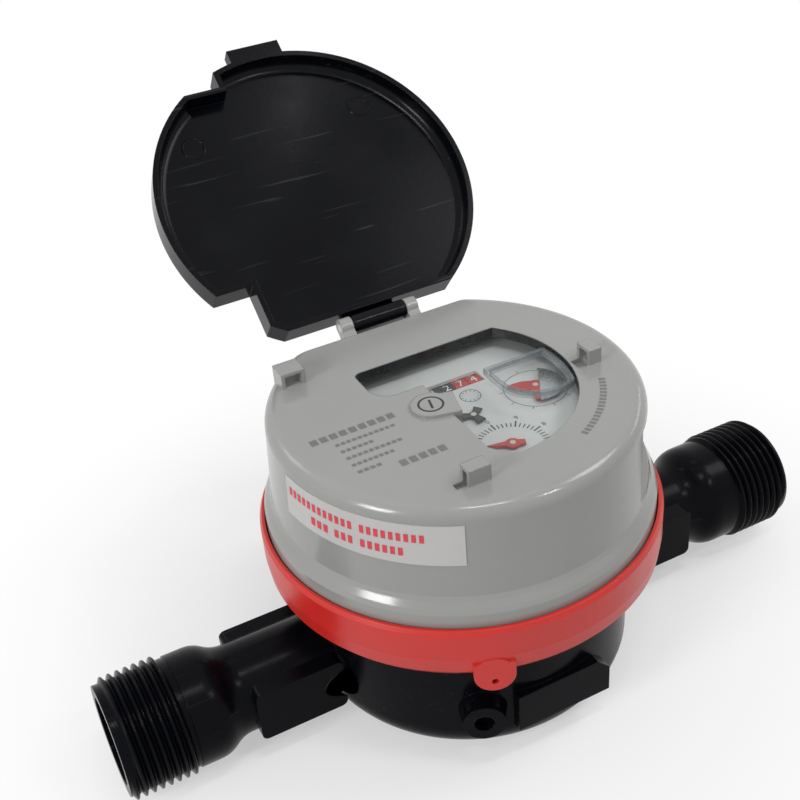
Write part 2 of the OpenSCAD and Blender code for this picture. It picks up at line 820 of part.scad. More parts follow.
module gear_at(at, z, teeth, phase = 0) {
    translate([at[0], at[1], z]) gear(teeth, phase);
}

// Turn of the line from one arbor to another.
function aim(p, q) = atan2(q[1] - p[1], q[0] - p[0]);
// Phase that puts a gap of a wheel on the line to its driver.
function gap_to(p, q, teeth) = aim(p, q) + 180 / teeth;
// Phase of a wheel at q that meshes with a wheel at p whose own phase is given.
function mesh_phase(p, p_teeth, p_phase, q, q_teeth) =
    gap_to(q, p, q_teeth) + (aim(p, q) - p_phase) * p_teeth / q_teeth;

module drive_spindle() {
    z0 = cup_floor_z + cup_floor;
    color("#d8d4c4") {
        arbor([0, 0], z0 - 0.8 + run_gap, carrier_top_z - 0.1);
        gear_at([0, 0], level_1, spindle_teeth, aim([0, 0], first_at));
        gear_at([0, 0], level_4, star_teeth, aim([0, 0], star_at));
        translate([0, 0, z0 + magnet_lift]) cylinder(r = magnet_hub_r, h = magnet_thick + 0.8);
    }
}

module driven_magnet() {
    z0 = cup_floor_z + cup_floor + magnet_lift;
    color("#4a4d52") tube(magnet_r, magnet_hub_r, z0, z0 + magnet_thick);
}

module first_wheel() {
    color("#e3dcc6") {
        arbor(first_at, plate_low_z + 0.1, carrier_top_z - 0.1);
        gear_at(first_at, level_1, first_teeth, gap_to(first_at, [0, 0], first_teeth));
        gear_at(first_at, level_2, first_pinion, aim(first_at, litre_at));
    }
}

module litre_wheel() {
    color("#e3dcc6") {
        arbor(litre_at, plate_low_z + 0.1, dial_top_z + 1);
        gear_at(litre_at, level_2, litre_teeth, gap_to(litre_at, first_at, litre_teeth));
        gear_at(litre_at, level_3, litre_pinion, aim(litre_at, target_at));
    }
}

module litre_pointer() {
    z = dial_top_z + 0.4;
    color("#c8362f") translate([litre_at[0], litre_at[1], z]) difference() {
        rotate([0, 0, 160]) linear_extrude(0.5) {
            circle(r = 1.5, $fn = 48);
            polygon([[0, -1], [litre_pointer_len, 0], [0, 1], [-2.6, 0.7], [-2.6, -0.7]]);
        }
        translate([0, 0, -1]) cylinder(r = arbor_r, h = 3, $fn = 32);
    }
}

module target_wheel() {
    color("#e3dcc6") {
        arbor(target_at, plate_low_z + 0.1, dial_top_z + 1);
        gear_at(target_at, level_3, target_teeth, target_phase);
    }
}

module target_pointer() {
    z = dial_top_z + 0.4;
    color("#c8362f") translate([target_at[0], target_at[1], z]) difference() {
        rotate([0, 0, 150]) linear_extrude(0.5) {
            circle(r = 1.8, $fn = 48);
            polygon([[0, -1.6], [3, -1.4], [target_r, 0], [3, 1.4], [0, 1.6]]);
            rotate(115) polygon([[0, -1.2], [5, -2.2], [5, 2.2], [0, 1.2]]);
        }
        translate([0, 0, -1]) cylinder(r = arbor_r, h = 3, $fn = 32);
    }
}

module target_plate() {
    z = dial_top_z + 0.9;
    color("#b7aba3") translate([target_at[0], target_at[1], z]) rotate([0, 0, -30]) linear_extrude(0.3)
        intersection() {
            circle(r = target_r);
            translate([arbor_r + 0.3, -far / 2]) square([far, far]);
        }
}

module star_wheel() {
    color("#e3dcc6") {
        arbor(star_at, plate_low_z + 0.1, dial_top_z + 1);
        gear_at(star_at, level_4, star_teeth, gap_to(star_at, [0, 0], star_teeth));
    }
}

module leak_star() {
    color("#1b1b1d") translate([star_at[0], star_at[1], dial_top_z + 0.4]) difference() {
        linear_extrude(0.5) {
            circle(r = 1, $fn = 32);
            for (a = [40, 160, 280]) rotate(a) polygon([[0, -0.5], [star_r, -1], [star_r, 1], [0, 0.5]]);
        }
        translate([0, 0, -1]) cylinder(r = arbor_r, h = 3, $fn = 32);
    }
}

module worm_arbor() {
    turns = 3;
    worm_throw = 0.35;
    h = turns * worm_lead;
    color("#e3dcc6") {
        arbor(worm_at, plate_low_z + 0.1, carrier_top_z - 0.1);
        gear_at(worm_at, level_3, worm_pinion, worm_phase);
        translate([worm_at[0], worm_at[1], drum_z - h / 2]) rotate([0, 0, 270 - 180 * turns])
            linear_extrude(h, twist = -360 * turns, slices = 10 * turns, segments = 14, $fn = 14)
                translate([worm_throw, 0]) circle(r = worm_r - worm_throw, $fn = 14);
    }
}

module drum(i) {
    x0 = drums_right_x - i * drum_pitch;
    w = drum_pitch - drum_gap;
    tint = i <= red_drums ? "#b9302b" : "#1d1d20";
    color(tint) translate([x0, drum_y, drum_z]) rotate([0, 90, 0]) difference() {
        union() {
            cylinder(r = drum_r, h = w);
            if (i == 1) translate([0, 0, w - eps]) worm_wheel();
        }
        translate([0, 0, -1]) cylinder(r = drum_shaft_r + run_gap, h = far, $fn = 48);
        translate([0, 0, -1]) difference() {
            cylinder(r = drum_r - 0.8, h = w - 0.4);
            cylinder(r = drum_shaft_r + 0.9, h = w);
        }
    }
}

module worm_wheel() {
    step = 360 / worm_wheel_teeth;
    flank = [-0.26, -0.12, 0.12, 0.26];
    cylinder(r = 2, h = worm_x - gear_w / 2 - drums_right_x + drum_gap + 2 * eps);
    translate([0, 0, worm_x - gear_w / 2 - drums_right_x + drum_gap]) linear_extrude(gear_w)
        polygon([for (i = [0:worm_wheel_teeth - 1], k = [0:3])
            turn(k == 1 || k == 2 ? wheel_tip_r : wheel_root_r, (i + 0.5 + flank[k]) * step)]);
}

// Lid

module lid_frame() {
    translate([0, hinge_y, hinge_z]) rotate([-lid_open, 0, 0]) children();
}

module lid_outline(shrink = 0) {
    centre = -hinge_y;
    chord = -3;
    cut = left_loop[0] + [left_loop[1][0] / 2 + lid_clear, centre - left_loop[1][1] / 2 - 2 * lid_clear];
    difference() {
        intersection() {
            translate([0, centre]) circle(r = lid_r - shrink);
            translate([-far / 2, chord - shrink - far]) square([far, far]);
        }
        translate([notch_x + shrink - far, centre - lid_r + notch_depth + shrink - far]) square([far, far]);
        translate([cut[0] + shrink - far, cut[1] - shrink]) square([far, far]);
    }
}

module lid() {
    color("#1a1b1d") lid_frame() difference() {
        union() {
            translate([0, 0, lid_low]) linear_extrude(lid_rim + lid_plate) lid_outline();
            translate([-tab_w / 2, -hinge_y - lid_r - tab_reach, lid_low])
                cube([tab_w, tab_reach + 0.9 * lid_wall, tab_h]);
            translate([-tongue_w / 2, -5, lid_low + lid_rim]) cube([tongue_w, 5, lid_plate]);
            translate([-tongue_w / 2, 0, 0]) rotate([0, 90, 0]) cylinder(r = ear_r, h = tongue_w);
            translate([-tongue_w / 2, -ear_r, 0]) cube([tongue_w, 2 * ear_r, lid_top]);
        }
        translate([0, 0, lid_low - 1]) linear_extrude(lid_rim + 1) lid_outline(lid_wall);
        translate([-far / 2, 0, 0]) rotate([0, 90, 0]) cylinder(r = hinge_pin_r + run_gap, h = far);
    }
}

module hinge_pin() {
    l = tongue_w + 2 * ear_w + 2 * rail_gap;
    color("#8d9094") translate([-l / 2, hinge_y, hinge_z]) rotate([0, 90, 0])
        cylinder(r = hinge_pin_r, h = l);
}

body();
plug_screw();
inlet_strainer();
pivot_pin();
chamber_cover();
bearing_bush();
chamber_o_ring();
seal_ring();
register_cup();
register_housing();
sticker();
lens_gasket();
lens();
dial_plate();
dial_carrier();
movement_plate();
pillars();
drum_shaft();
hinge_pin();
lid();
impeller();
impeller_magnet();
drive_spindle();
driven_magnet();
first_wheel();
litre_wheel();
litre_pointer();
target_wheel();
target_pointer();
target_plate();
star_wheel();
leak_star();
worm_arbor();
for (i = [1:drums]) drum(i);
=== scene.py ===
"""Looks of the water meter: finishes of the solids, pipe threads, printed marks, lid marks, and the stage."""
import json
import math

import bmesh
import bpy
from mathutils import Matrix, Vector


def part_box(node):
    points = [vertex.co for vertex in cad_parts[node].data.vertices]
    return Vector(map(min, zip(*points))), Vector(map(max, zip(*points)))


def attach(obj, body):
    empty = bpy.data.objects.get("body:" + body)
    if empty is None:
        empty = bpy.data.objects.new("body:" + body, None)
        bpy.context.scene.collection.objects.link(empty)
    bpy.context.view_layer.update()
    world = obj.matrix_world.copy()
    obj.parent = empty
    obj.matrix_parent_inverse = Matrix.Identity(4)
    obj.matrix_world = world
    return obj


bl_info = {
    "name": "Water meter looks",
    "version": (1, 0, 0),
    "blender": (4, 5, 0),
    "location": "View3D > Sidebar > Water meter",
    "description": "Finishes, threads, printed marks and stage of a water meter",
    "category": "Object",
}

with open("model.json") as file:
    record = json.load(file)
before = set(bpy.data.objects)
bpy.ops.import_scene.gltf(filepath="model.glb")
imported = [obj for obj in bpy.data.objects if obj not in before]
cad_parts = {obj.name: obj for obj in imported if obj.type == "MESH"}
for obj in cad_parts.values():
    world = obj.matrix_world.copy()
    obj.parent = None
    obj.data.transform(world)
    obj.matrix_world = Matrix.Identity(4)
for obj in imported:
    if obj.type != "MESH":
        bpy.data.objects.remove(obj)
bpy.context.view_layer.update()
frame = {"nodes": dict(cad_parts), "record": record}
MM = 0.001

# Values from the frame, in metres and degrees
JOINTS = frame["record"]["behaviour"]["joints"]
JOINT_AT = {j["name"]: Vector(j["pos_m"]) for j in JOINTS}
LID_TURN = next(j["range_deg"][1] for j in JOINTS if j["name"] == "lid_hinge")
DRUMS = sorted(
    (name for name in frame["nodes"] if name.startswith("drum_") and name[5:].isdigit()),
    key=lambda name: int(name[5:]))
# The loops are the highest part of the housing, and stand on its flat top.
LOOP_HEIGHT = 3.6 * MM
HOUSING_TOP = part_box("register_housing")[1][2] - LOOP_HEIGHT
LID_WALL = 1.3 * MM
LID_IN_R = -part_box("lid")[0][0] - LID_WALL

# Height of ink over the face that it is printed on.
PRINT_LIFT = 0.02 * MM


def linear(hex_colour):
    """Linear RGB of an sRGB hex colour."""
    parts = [int(hex_colour[i:i + 2], 16) / 255 for i in (1, 3, 5)]
    return tuple(c / 12.92 if c <= 0.04045 else ((c + 0.055) / 1.055) ** 2.4 for c in parts)


# Settings

def colour(name, hex_colour, description):
    """One colour setting, written as an sRGB hex value."""
    return bpy.props.FloatVectorProperty(
        name=name, description=description, subtype="COLOR", size=3, min=0, max=1, default=linear(hex_colour))


def length(name, mm, description):
    """One length setting, written in millimetres."""
    return bpy.props.FloatProperty(
        name=name, description=description, subtype="DISTANCE", unit="LENGTH", default=mm * MM, precision=5)


def power(name, watts, description):
    """One lamp's power setting."""
    return bpy.props.FloatProperty(name=name, description=description, subtype="POWER", default=watts)


class METER_PG_finish(bpy.types.PropertyGroup):
    """Colours of the meter's materials."""
    body_black: colour("Body black", "#08090E", "Moulded body and arms")
    lid_black: colour("Lid black", "#08090E", "Moulded lid")
    case_grey: colour("Case grey", "#999A97", "Register housing")
    seal_red: colour("Seal red", "#CF2923", "Seal ring")
    pointer_red: colour("Pointer red", "#C5302B", "Pointers and red drums")
    # The dial's white includes painted shade: a little darker, as the dial lies in shade under the window.
    dial_white: colour("Dial white", "#DAD8D7", "Dial plate")
    print_grey: colour("Print grey", "#6E6F6D", "Printed blocks on the housing")
    print_black: colour("Print black", "#26272A", "Printed ticks and numbers")
    print_red: colour("Print red", "#D2404F", "Printed blocks on the sticker")


class METER_PG_thread(bpy.types.PropertyGroup):
    """Sizes of the pipe threads."""
    pitch: length("Pitch", 1.814, "Distance from crest to crest")
    root_r: length("Root radius", 12.1, "Radius of the plain cylinder under the thread")
    crest_r: length("Crest radius", 13.2, "Radius over the crests")
    run: length("Run", 15.0, "Length that the thread covers")
    lead: length("Lead-in", 1.3, "Plain length at the pipe end")


class METER_PG_print(bpy.types.PropertyGroup):
    """Sizes of the printed marks, and the number on the drums."""
    reading: bpy.props.IntProperty(
        name="Reading", description="Number that the drums show", default=1274, min=0)
    digit_h: length("Drum digit height", 2.2, "Height of a digit on a number drum")
    dial_digit_h: length("Dial digit height", 1.25, "Height of a number on the dial")
    scale_r: length("Scale radius", 6.6, "Inner radius of the litre scale's ticks")
    tick: length("Tick length", 1.4, "Length of a short tick")


class METER_PG_stage(bpy.types.PropertyGroup):
    """Camera and light."""
    lens: bpy.props.FloatProperty(
        name="Lens", description="Focal length on a 36 mm sensor", subtype="DISTANCE_CAMERA", unit="CAMERA",
        default=55.75)
    key: power("Key light", 1.45, "Main light, from the left")
    top: power("Top light", 0.75, "Broad light overhead")
    spark: power("Spark light", 0.3, "Small highlight from the front")
    strip: power("Strip light", 0.42, "Narrow light above")
    streak: power("Streak light", 0.16, "Narrow light from the right")
    sheen: power("Sheen light", 0.03, "Light that the lid mirrors on its right")
    crest: power("Crest light", 0.02, "Light that the lid mirrors near its far edge")
    rim: power("Rim light", 0.3, "Light from behind on the left")
    horizon: bpy.props.FloatProperty(
        name="Horizon glow", description="World light at the horizon", default=0.1)
    overhead: bpy.props.FloatProperty(
        name="Overhead glow", description="World light overhead", default=0.62)


GROUPS = {
    "meter_finish": METER_PG_finish, "meter_thread": METER_PG_thread,
    "meter_print": METER_PG_print, "meter_stage": METER_PG_stage}


# Materials

# Places of the Mix node's sockets when it mixes colours.
MIX_FACTOR, MIX_A, MIX_B, MIX_OUT = 0, 6, 7, 2


def add_node(tree, kind, values=None, links=None, **settings):
    """Adds one shader node with its settings, its socket values and its incoming links."""
    made = tree.nodes.new(kind)
    for key, value in settings.items():
        setattr(made, key, value)
    for key, value in (values or {}).items():
        made.inputs[key].default_value = value
    for key, socket in (links or {}).items():
        tree.links.new(socket, made.inputs[key])
    return made


def new_material(name):
    """An empty node material and its output node."""
    mat = bpy.data.materials.new(name)
    mat.use_nodes = True
    mat.node_tree.nodes.clear()
    return mat, add_node(mat.node_tree, "ShaderNodeOutputMaterial")


def opaque(rgb):
    """A colour with full alpha, as a colour socket takes it."""
    return tuple(rgb) + (1.0,)


WHITE = opaque(linear("#FFFFFF"))


def tinted(rgb, gain):
    """A colour made lighter or darker."""
    return tuple(min(1.0, c * gain) for c in rgb)


def moulded(name, rgb, rough, mottle, cloud_mm, grain_mm, depth_mm, edge_mm,
            spread=0.06, ior=1.5, metallic=0.0, scuffs=0.0, subsurface=0.0):
    """A moulded or turned surface: cloudy tint, uneven gloss, fine grain and rounded edges.

    cloud_mm, grain_mm, depth_mm and edge_mm are the real sizes of the tint's clouds, of the grain, of the
    grain's depth and of the edges' rounding. mottle and spread say how far tint and gloss vary.
    """
    mat, out = new_material(name)
    tree = mat.node_tree
    at = add_node(tree, "ShaderNodeTexCoord").outputs["Object"]
    noise = add_node(
        tree, "ShaderNodeTexNoise", {"Scale": 1 / (cloud_mm * MM), "Detail": 4.0}, {"Vector": at})
    fine = add_node(
        tree, "ShaderNodeTexNoise", {"Scale": 1 / (grain_mm * MM), "Detail": 2.0}, {"Vector": at})
    cloud = add_node(
        tree, "ShaderNodeMapRange", {"From Min": 0.3, "From Max": 0.7},
        {"Value": noise.outputs["Fac"]}).outputs["Result"]
    tint = add_node(
        tree, "ShaderNodeMix",
        {MIX_A: opaque(tinted(rgb, 1 - mottle)), MIX_B: opaque(tinted(rgb, 1 + mottle))},
        {MIX_FACTOR: cloud}, data_type="RGBA").outputs[MIX_OUT]
    gloss = add_node(
        tree, "ShaderNodeMapRange", {"To Min": rough - spread, "To Max": rough + spread},
        {"Value": cloud}).outputs["Result"]
    if scuffs:
        gloss, tint = scratched(tree, at, gloss, tint, scuffs)
    bevel = add_node(tree, "ShaderNodeBevel", {"Radius": edge_mm * MM}, samples=4)
    bump = add_node(
        tree, "ShaderNodeBump", {"Strength": 1.0, "Distance": depth_mm * MM},
        {"Height": fine.outputs["Fac"], "Normal": bevel.outputs["Normal"]})
    shader = add_node(
        tree, "ShaderNodeBsdfPrincipled", {"IOR": ior, "Metallic": metallic},
        {"Base Color": tint, "Roughness": gloss, "Normal": bump.outputs["Normal"]})
    if subsurface:
        # Light that enters the plastic spreads by about a millimetre, the red part farthest.
        shader.inputs["Subsurface Weight"].default_value = subsurface
        shader.inputs["Subsurface Radius"].default_value = (1.5 * MM, 1.0 * MM, 0.8 * MM)
        shader.inputs["Subsurface Scale"].default_value = 1.0
    tree.links.new(shader.outputs[0], out.inputs["Surface"])
    return mat


def scratched(tree, at, gloss, tint, strength):
    """Gloss and tint with long thin scratches, which are the peaks of noise stretched along one direction.

    Real hairlines are too fine to show, so the noise is as coarse as about 1 mm across them.
    """
    long_mm, wide_mm = 25.0, 10 / 9
    slant = (0.3, 0.2, 0.9)
    stretched = add_node(
        tree, "ShaderNodeMapping",
        {"Rotation": slant, "Scale": (1 / (long_mm * MM), 1 / (wide_mm * MM), 1 / (wide_mm * MM))},
        {"Vector": at})
    lines = add_node(
        tree, "ShaderNodeTexNoise", {"Scale": 1.0, "Detail": 1.0, "Distortion": 0.6},
        {"Vector": stretched.outputs["Vector"]})
    marks = add_node(
        tree, "ShaderNodeMapRange", {"From Min": 0.68, "From Max": 0.78, "To Max": strength},
        {"Value": lines.outputs["Fac"]}).outputs["Result"]
    duller = add_node(tree, "ShaderNodeMath", links={0: gloss, 1: marks}, operation="ADD")
    paler = add_node(
        tree, "ShaderNodeMix", {MIX_B: opaque(linear("#5A5C62"))}, {MIX_FACTOR: marks, MIX_A: tint},
        data_type="RGBA")
    return duller.outputs[0], paler.outputs[MIX_OUT]


def clear_lens():
    """Clear polycarbonate, polished: see-through, with reflections that grow where it is seen aslant, and
    painted grey shade on its upright faces.
    """
    mat, out = new_material("clear_polycarbonate_polished")
    tree = mat.node_tree
    through = add_node(tree, "ShaderNodeBsdfTransparent", {"Color": opaque(linear("#F7F9F9"))})
    shine = add_node(tree, "ShaderNodeBsdfGlossy", {"Roughness": 0.03, "Color": WHITE})
    grow = add_node(tree, "ShaderNodeFresnel", {"IOR": 1.45})
    side = add_node(tree, "ShaderNodeNewGeometry")
    # The light passes straight through, so only the outer faces shine.
    outer = add_node(tree, "ShaderNodeMath", {0: 1.0}, {1: side.outputs["Backfacing"]}, operation="SUBTRACT")
    shown = add_node(
        tree, "ShaderNodeMath", links={0: grow.outputs[0], 1: outer.outputs[0]}, operation="MULTIPLY")
    clear = add_node(
        tree, "ShaderNodeMixShader", links={0: shown.outputs[0], 1: through.outputs[0], 2: shine.outputs[0]})
    # Painted shade: upright faces, seen edge-on through the plastic, get a grey for the dark line they show.
    normal = add_node(tree, "ShaderNodeSeparateXYZ", links={0: side.outputs["Normal"]})
    level = add_node(tree, "ShaderNodeMath", links={0: normal.outputs["Z"]}, operation="ABSOLUTE")
    edge = add_node(
        tree, "ShaderNodeMapRange", {"From Min": 0.2, "From Max": 0.6, "To Min": 0.5, "To Max": 0.0},
        {"Value": level.outputs[0]})
    painted_edge_shade = add_node(
        tree, "ShaderNodeBsdfPrincipled", {"Base Color": opaque(linear("#8C9498")), "Roughness": 0.1})
    edged = add_node(
        tree, "ShaderNodeMixShader",
        links={0: edge.outputs["Result"], 1: clear.outputs[0], 2: painted_edge_shade.outputs[0]})
    tree.links.new(edged.outputs[0], out.inputs["Surface"])
    return mat


def ink(name, rgb, rough=0.55, blotch_mm=0.4):
    """Printing ink: a matt film, paler in the small blotches where it is thin."""
    mat, out = new_material(name)
    tree = mat.node_tree
    at = add_node(tree, "ShaderNodeTexCoord").outputs["Object"]
    noise = add_node(
        tree, "ShaderNodeTexNoise", {"Scale": 1 / (blotch_mm * MM), "Detail": 3.0}, {"Vector": at})
    thin = add_node(
        tree, "ShaderNodeMapRange", {"From Min": 0.35, "From Max": 0.75}, {"Value": noise.outputs["Fac"]})
    tint = add_node(
        tree, "ShaderNodeMix", {MIX_A: opaque(tinted(rgb, 0.92)), MIX_B: opaque(tinted(rgb, 1.25))},
        {MIX_FACTOR: thin.outputs["Result"]}, data_type="RGBA").outputs[MIX_OUT]
    shader = add_node(tree, "ShaderNodeBsdfPrincipled", {"Roughness": rough}, {"Base Color": tint})
    tree.links.new(shader.outputs[0], out.inputs["Surface"])
    return mat


def finishes(scene):
    """Every material by its short name."""
    c = scene.meter_finish
    return {
        # Glass-filled polyamide, moulded: near black, satin, with a faint grain and scuffs from handling.
        # The IOR of both blacks is lowered to match how little of the white surroundings they mirror.
        "body": moulded(
            "black_polyamide_moulded", c.body_black, rough=0.22, mottle=0.12, cloud_mm=12, grain_mm=0.45,
            depth_mm=0.02, edge_mm=0.35, ior=1.15, scuffs=0.12),
        # ABS from a polished mould: deep black, with sharper reflections and hairline scratches.
        "lid": moulded(
            "black_abs_polished_mould", c.lid_black, rough=0.16, mottle=0.1, cloud_mm=18, grain_mm=0.9,
            depth_mm=0.01, edge_mm=0.3, ior=1.2, scuffs=0.18),
        # ABS, moulded grey: even and glossy, with soft large clouds of flow.
        "case": moulded(
            "grey_abs_moulded", c.case_grey, rough=0.17, mottle=0.025, cloud_mm=26, grain_mm=1.4,
            depth_mm=0.008, edge_mm=0.4, spread=0.04, subsurface=0.05),
        # Polypropylene, moulded red: soft gloss, slightly waxy.
        "seal": moulded(
            "red_polypropylene_moulded", c.seal_red, rough=0.34, mottle=0.05, cloud_mm=14, grain_mm=0.8,
            depth_mm=0.02, edge_mm=0.3, subsurface=0.08),
        # Polyester label film, coated: white, even, half matt, painted greyer as the shade it lies in.
        "sticker": moulded(
            "white_polyester_film_coated", linear("#C2C1BF"), rough=0.45, mottle=0.02, cloud_mm=8,
            grain_mm=0.25, depth_mm=0.006, edge_mm=0.05),
        "lens": clear_lens(),
        # Polystyrene, moulded white: card-like and matt, painted a little darker as shade under the window.
        "dial": moulded(
            "white_polystyrene_moulded", c.dial_white, rough=0.5, mottle=0.02, cloud_mm=10, grain_mm=0.4,
            depth_mm=0.006, edge_mm=0.1),
        # Acetal, moulded gears: creamy and waxy.
        "gear": moulded(
            "cream_acetal_moulded", linear("#D9D1BB"), rough=0.42, mottle=0.04, cloud_mm=5, grain_mm=0.3,
            depth_mm=0.01, edge_mm=0.06, subsurface=0.1),
        # Acetal, moulded red: even, with a small soft highlight.
        "pointer": moulded(
            "red_acetal_moulded", c.pointer_red, rough=0.32, mottle=0.05, cloud_mm=4, grain_mm=0.3,
            depth_mm=0.008, edge_mm=0.08),
        # Acetal, moulded black: even satin under the white digits.
        "drum_black": moulded(
            "black_acetal_moulded", linear("#1B1C1F"), rough=0.36, mottle=0.06, cloud_mm=4, grain_mm=0.3,
            depth_mm=0.008, edge_mm=0.08),
        # Acetal, moulded red: the same satin, a little deeper than the pointers.
        "drum_red": moulded(
            "deep_red_acetal_moulded", tinted(c.pointer_red, 0.9), rough=0.36, mottle=0.06, cloud_mm=4,
            grain_mm=0.3, depth_mm=0.008, edge_mm=0.08),
        # Stainless steel, turned or stamped: bright and cool, with a faintly uneven sheen.
        "steel": moulded(
            "stainless_steel_turned", linear("#B9BABC"), rough=0.28, mottle=0.05, cloud_mm=3, grain_mm=0.12,
            depth_mm=0.006, edge_mm=0.08, metallic=1.0),
        # Brass, turned: warm yellow with a soft sheen.
        "brass": moulded(
            "brass_turned", linear("#C9A45A"), rough=0.3, mottle=0.06, cloud_mm=5, grain_mm=0.15,
            depth_mm=0.006, edge_mm=0.08, metallic=1.0),
        # Ferrite, sintered: dark grey, dry and sandy.
        "magnet": moulded(
            "ferrite_sintered", linear("#3B3D41"), rough=0.6, mottle=0.12, cloud_mm=2, grain_mm=0.2,
            depth_mm=0.03, edge_mm=0.1),
        # Nitrile rubber, moulded: black and dull, with no clear highlight.
        "rubber": moulded(
            "black_nitrile_rubber_moulded", linear("#161616"), rough=0.7, mottle=0.08, cloud_mm=5,
            grain_mm=0.3, depth_mm=0.02, edge_mm=0.15),
        # Polycarbonate, moulded grey: smooth and half glossy.
        "cup": moulded(
            "grey_polycarbonate_moulded", linear("#BFC1BE"), rough=0.38, mottle=0.03, cloud_mm=15,
            grain_mm=0.6, depth_mm=0.012, edge_mm=0.2),
        # Polypropylene, moulded white: soft gloss, slightly milky.
        "white": moulded(
            "white_polypropylene_moulded", linear("#D6D5CF"), rough=0.42, mottle=0.03, cloud_mm=8,
            grain_mm=0.5, depth_mm=0.012, edge_mm=0.15, subsurface=0.08),
        # Painted shade: a dark satin sheet over the window's upright edge, for the shade that falls there.
        "window_shade": moulded(
            "black_abs_moulded", linear("#1A1B1D"), rough=0.3, mottle=0.08, cloud_mm=6, grain_mm=0.4,
            depth_mm=0.01, edge_mm=0.1),
        # Printing inks: flat and matt over the gloss of what they are printed on.
        "print_grey": ink("grey_ink_pad_printed", c.print_grey),
        "print_black": ink("black_ink_pad_printed", c.print_black),
        "print_red": ink("red_ink_label_printed", c.print_red),
        # Hot-stamped foil: white, a little smoother than ink.
        "print_white": ink("white_foil_hot_stamped", linear("#E4E3DE"), rough=0.45),
    }


NODE_FINISH = {
    "body": "body", "plug_screw": "body", "lid": "lid", "chamber_cover": "body", "inlet_strainer": "white",
    "pivot_pin": "steel", "bearing_bush": "brass", "chamber_o_ring": "rubber", "seal_ring": "seal",
    "register_cup": "cup", "register_housing": "case", "sticker": "sticker", "lens_gasket": "rubber",
    "lens": "lens", "dial_plate": "dial", "dial_carrier": "white", "movement_plate": "brass",
    "pillars": "brass", "drum_shaft": "steel", "hinge_pin": "steel", "impeller": "white",
    "impeller_magnet": "magnet", "drive_spindle": "gear", "driven_magnet": "magnet", "first_wheel": "gear",
    "litre_wheel": "gear", "litre_pointer": "pointer", "target_wheel": "gear", "target_pointer": "pointer",
    "target_plate": "steel", "star_wheel": "gear", "leak_star": "drum_black", "worm_arbor": "gear"}
RED_DRUMS = 2
NODE_FINISH.update((name, "drum_red") for name in DRUMS[:RED_DRUMS])
NODE_FINISH.update((name, "drum_black") for name in DRUMS[RED_DRUMS:])

# Filled by the finishes operator, before any piece is made.
MATERIALS = {}


# Mesh helpers

def piece(name, bm, body, finish, smooth=False):
    """Makes an object of a bmesh in the row frame, riding on a body."""
    mesh = bpy.data.meshes.new(name)
    bm.normal_update()
    bm.to_mesh(mesh)
    bm.free()
    for polygon in mesh.polygons:
        polygon.use_smooth = smooth
    obj = bpy.data.objects.new(name, mesh)
    bpy.context.scene.collection.objects.link(obj)
    mesh.materials.append(MATERIALS[finish])
    bpy.context.view_layer.update()
    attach(obj, body)
    return obj


def aim(turn):
    """Level direction at an angle from +X."""
    return Vector((math.cos(turn), math.sin(turn)))


def face(bm, points):
    """One face through points."""
    return bm.faces.new([bm.verts.new(p) for p in points])


def skin(bm, rings, closed=False):
    """Faces between each ring of points and the next, and from the last to the first where closed."""
    made = [[bm.verts.new(p) for p in ring] for ring in rings]
    following = made[1:] + made[:1] if closed else made[1:]
    for a, b in zip(made, following):
        for k in range(len(a) - 1):
            bm.faces.new((a[k], a[k + 1], b[k + 1], b[k]))


def flat_bar(bm, start, end, width, z):
    """A flat printed bar between two places on a level face."""
    a, b = Vector(start), Vector(end)
    side = Vector((a.y - b.y, b.x - a.x)).normalized() * (width / 2)
    face(bm, [(p.x, p.y, z) for p in (a - side, b - side, b + side, a + side)])


def flat_ring(bm, centre, r_in, r_out, z, steps=64, start=0.0, sweep=2 * math.pi):
    """A flat ring or arc on a level face."""
    for i in range(steps):
        t0, t1 = (start + sweep * k / steps for k in (i, i + 1))
        face(bm, [(centre[0] + r * math.cos(t), centre[1] + r * math.sin(t), z)
                  for r, t in ((r_in, t0), (r_out, t0), (r_out, t1), (r_in, t1))])


def ways_round(count):
    """Equally spaced level directions, the first along +Y."""
    return [aim(math.pi / 2 + 2 * math.pi * i / count) for i in range(count)]


def ticks(bm, centre, count, r_in, r_out, width, z):
    """Equal ticks round a centre."""
    for way in ways_round(count):
        flat_bar(bm, centre + way * r_in, centre + way * r_out, width, z)


def blocks(start, end, wide, gap):
    """Spans of equal printed blocks between two places."""
    count = max(1, round((end - start + gap) / (wide + gap)))
    step = (end - start + gap) / count
    return [(start + step * i, start + step * (i + 1) - gap) for i in range(count)]


def numeral(text, height):
    """Filled outline of a plain number as a bmesh, centred, with its height along Y."""
    # Height of a digit as a share of the font's size.
    digit_share = 0.7
    curve = bpy.data.curves.new("numeral", "FONT")
    curve.body = text
    curve.size = height / digit_share
    curve.align_x = "CENTER"
    curve.align_y = "CENTER"
    curve.resolution_u = 3
    holder = bpy.data.objects.new("numeral", curve)
    bpy.context.scene.collection.objects.link(holder)
    mesh = bpy.data.meshes.new_from_object(holder.evaluated_get(bpy.context.evaluated_depsgraph_get()))
    bm = bmesh.new()
    bm.from_mesh(mesh)
    bpy.data.objects.remove(holder)
    bpy.data.curves.remove(curve)
    bpy.data.meshes.remove(mesh)
    return bm


def join_into(target, source, place):
    """Adds a bmesh to another through a function of its points."""
    made = {v: target.verts.new(place(v.co)) for v in source.verts}
    for f in source.faces:
        target.faces.new([made[v] for v in f.verts])
    source.free()


# Pieces

class METER_OT_finishes(bpy.types.Operator):
    """Give every solid its own material"""
    bl_idname = "meter.finishes"
    bl_label = "Finishes"

    def execute(self, context):
        MATERIALS.update(finishes(context.scene))
        for name, obj in frame["nodes"].items():
            obj.data.materials.clear()
            obj.data.materials.append(MATERIALS[NODE_FINISH[name]])
        return {"FINISHED"}


